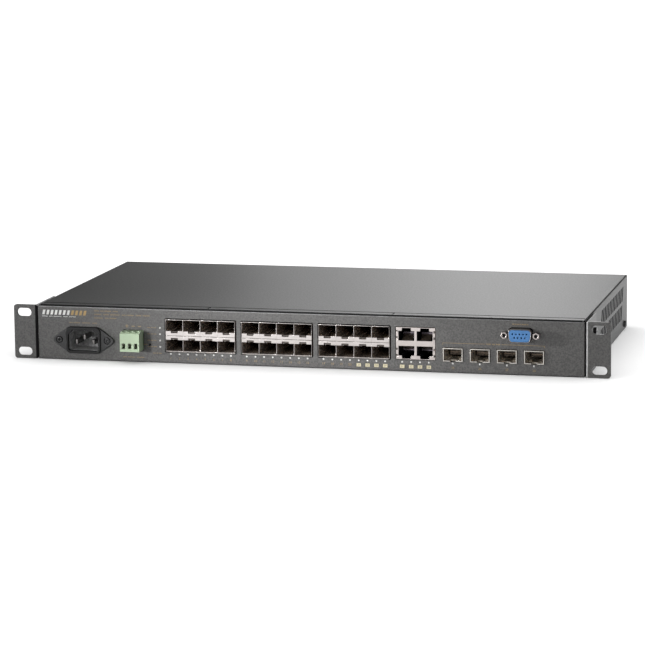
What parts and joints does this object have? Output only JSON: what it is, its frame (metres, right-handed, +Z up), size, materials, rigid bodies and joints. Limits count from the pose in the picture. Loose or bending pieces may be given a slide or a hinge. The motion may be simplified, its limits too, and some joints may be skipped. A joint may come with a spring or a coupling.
{
  "type": "rackmount network switch",
  "caption": "One-rack-unit network switch with rack ears, rows of pluggable fibre cages, copper ports, console port, mains inlet and a plug-in terminal block.",
  "frame": {"origin": "middle of the underside: centred on the full width and on the full depth with the plug in, at the bottom face", "axes": "+X to the right seen from the front, +Y from the front to the rear, +Z up"},
  "size_m": [0.4826, 0.244, 0.044],
  "materials": {
    "zinc_steel": "zinc-plated sheet, fine grain",
    "panel_paint": "dark grey textured powder coat",
    "cover_paint": "grey textured powder coat",
    "screw_steel": "zinc-plated screws, satin",
    "black_plastic": "moulded black plastic, satin",
    "nickel_plate": "nickel-plated brass, bright",
    "cage_nickel": "nickel-plated sheet, semi-bright",
    "green_plastic": "moulded pale green plastic, satin",
    "blue_plastic": "moulded blue plastic, satin",
    "lamp_window": "clear to milky light pipe",
    "circuit_board": "green solder mask over glass laminate",
    "winding_tape": "yellow winding tape over a dark core",
    "capacitor_sleeve": "dark shrink sleeve",
    "heatsink_metal": "extruded aluminium, matt"
  },
  "bodies": {
    "chassis": {"chassis_base": "zinc_steel", "front_panel": "panel_paint", "top_cover": "cover_paint", "rack_ear_right": "panel_paint", "rack_ear_left": "panel_paint", "ear_screw_right_1": "screw_steel", "ear_screw_right_2": "screw_steel", "cover_screw_right": "screw_steel", "ear_screw_left_1": "screw_steel", "ear_screw_left_2": "screw_steel", "cover_screw_left": "screw_steel", "inlet_housing": "black_plastic", "inlet_blade_line": "nickel_plate", "inlet_blade_neutral": "nickel_plate", "inlet_blade_earth": "nickel_plate", "inlet_screw_left": "screw_steel", "inlet_screw_right": "screw_steel", "terminal_header": "green_plastic", "reset_switch": "black_plastic", "sfp_cage_1": "cage_nickel", "sfp_divider_1": "cage_nickel", "sfp_cage_2": "cage_nickel", "sfp_divider_2": "cage_nickel", "sfp_cage_3": "cage_nickel", "sfp_divider_3": "cage_nickel", "rj45_shield": "cage_nickel", "rj45_core": "black_plastic", "sfp_plus_cage_1": "cage_nickel", "sfp_plus_cage_2": "cage_nickel", "sfp_plus_cage_3": "cage_nickel", "sfp_plus_cage_4": "cage_nickel", "console_shell": "cage_nickel", "console_insert": "blue_plastic", "console_jack_left": "screw_steel", "console_jack_right": "screw_steel", "light_pipe_sfp_1": "lamp_window", "light_pipe_sfp_2": "lamp_window", "light_pipe_sfp_3": "lamp_window", "light_pipe_rj45": "lamp_window", "light_pipe_sfp_plus": "lamp_window", "light_pipe_status": "lamp_window", "main_board": "circuit_board", "power_board": "circuit_board", "power_transformer": "winding_tape", "bulk_capacitor": "capacitor_sleeve", "power_heatsink": "heatsink_metal", "chip_heatsink": "heatsink_metal", "fan_frame_1": "black_plastic", "fan_frame_2": "black_plastic"},
    "plug": {"terminal_plug": "green_plastic"},
    "reset_plunger": {"reset_button": "black_plastic"},
    "clamp_screw_1": {"clamp_screw_1": "screw_steel"},
    "wire_clamp_1": {"wire_clamp_1": "nickel_plate"},
    "clamp_screw_2": {"clamp_screw_2": "screw_steel"},
    "wire_clamp_2": {"wire_clamp_2": "nickel_plate"},
    "clamp_screw_3": {"clamp_screw_3": "screw_steel"},
    "wire_clamp_3": {"wire_clamp_3": "nickel_plate"},
    "fan_rotor_1": {"fan_rotor_1": "black_plastic"},
    "fan_rotor_2": {"fan_rotor_2": "black_plastic"}
  },
  "joints": [
    {"name": "plug_pull", "type": "slide", "parent": "chassis", "child": "plug", "axis": [0, -1, 0], "range_m": [0, 0.03]},
    {"name": "reset_press", "type": "slide", "parent": "chassis", "child": "reset_plunger", "axis": [0, 1, 0], "range_m": [0, 0.0005], "stiffness_N_per_m": 2000},
    {"name": "clamp_screw_1_turn", "type": "hinge", "parent": "plug", "child": "clamp_screw_1", "pos_m": [-0.14618, -0.1175, 0.022], "axis": [0, 0, -1], "range_deg": [0, 1080]},
    {"name": "wire_clamp_1_lift", "type": "slide", "parent": "plug", "child": "wire_clamp_1", "axis": [0, 0, 1], "range_m": [0, 0.0015]},
    {"name": "clamp_screw_2_turn", "type": "hinge", "parent": "plug", "child": "clamp_screw_2", "pos_m": [-0.1411, -0.1175, 0.022], "axis": [0, 0, -1], "range_deg": [0, 1080]},
    {"name": "wire_clamp_2_lift", "type": "slide", "parent": "plug", "child": "wire_clamp_2", "axis": [0, 0, 1], "range_m": [0, 0.0015]},
    {"name": "clamp_screw_3_turn", "type": "hinge", "parent": "plug", "child": "clamp_screw_3", "pos_m": [-0.13602, -0.1175, 0.022], "axis": [0, 0, -1], "range_deg": [0, 1080]},
    {"name": "wire_clamp_3_lift", "type": "slide", "parent": "plug", "child": "wire_clamp_3", "axis": [0, 0, 1], "range_m": [0, 0.0015]},
    {"name": "fan_1_spin", "type": "hinge", "parent": "chassis", "child": "fan_rotor_1", "pos_m": [-0.2076, -0.001, 0.0215], "axis": [1, 0, 0], "continuous": true},
    {"name": "fan_2_spin", "type": "hinge", "parent": "chassis", "child": "fan_rotor_2", "pos_m": [-0.2076, 0.051, 0.0215], "axis": [1, 0, 0], "continuous": true}
  ],
  "couplings": [
    {"joint": "clamp_screw_1_turn", "follows": "wire_clamp_1_lift", "rad_per_m": 12566},
    {"joint": "clamp_screw_2_turn", "follows": "wire_clamp_2_lift", "rad_per_m": 12566},
    {"joint": "clamp_screw_3_turn", "follows": "wire_clamp_3_lift", "rad_per_m": 12566}
  ]
}
